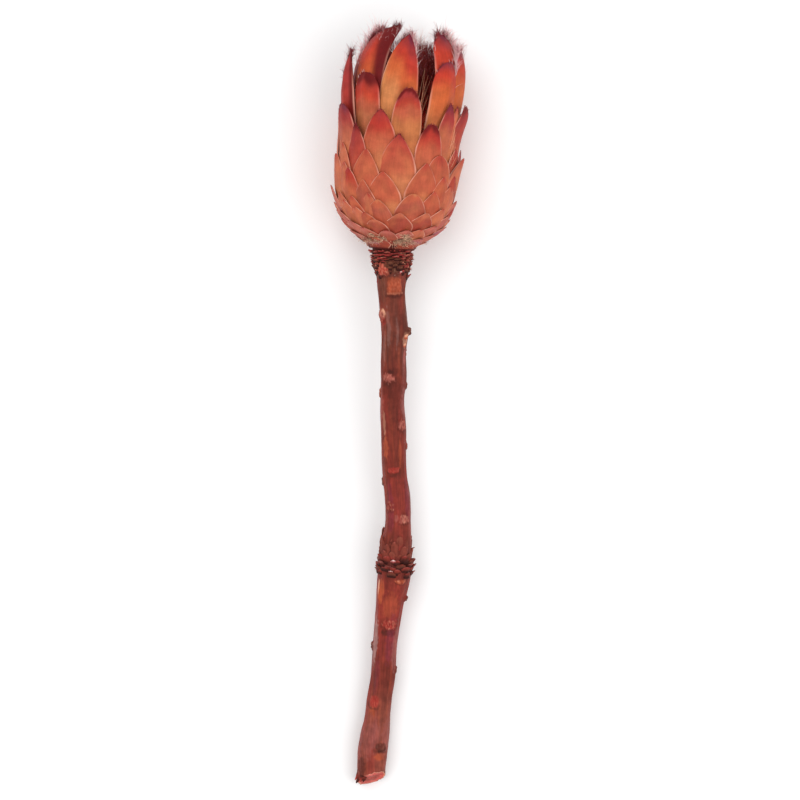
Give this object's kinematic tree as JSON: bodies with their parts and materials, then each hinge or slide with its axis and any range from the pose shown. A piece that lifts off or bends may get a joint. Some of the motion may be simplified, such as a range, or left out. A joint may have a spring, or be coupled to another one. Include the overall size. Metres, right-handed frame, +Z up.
{
  "type": "dried protea stem",
  "caption": "Dried protea head of overlapping pointed bracts with long open inner bracts, on a bare woody cut stem with leaf scars, lying on its side.",
  "frame": {"origin": "on the surface that the stem lies on, under the middle of the whole", "axes": "+Z up from the surface, +Y from the cut end of the stem towards the tips of the bracts, +X to the right of both"},
  "size_m": [0.059, 0.3284, 0.058],
  "materials": {
    "stem": "dry red-brown bark",
    "outer_bracts": "dry, matt terracotta with rose tips",
    "inner_bracts": "dry, matt orange-red",
    "florets": "dry, matt dark brown"
  },
  "bodies": {
    "root": {"stem": "stem", "outer_bracts": "outer_bracts", "inner_bracts": "inner_bracts", "florets": "florets"}
  },
  "joints": []
}
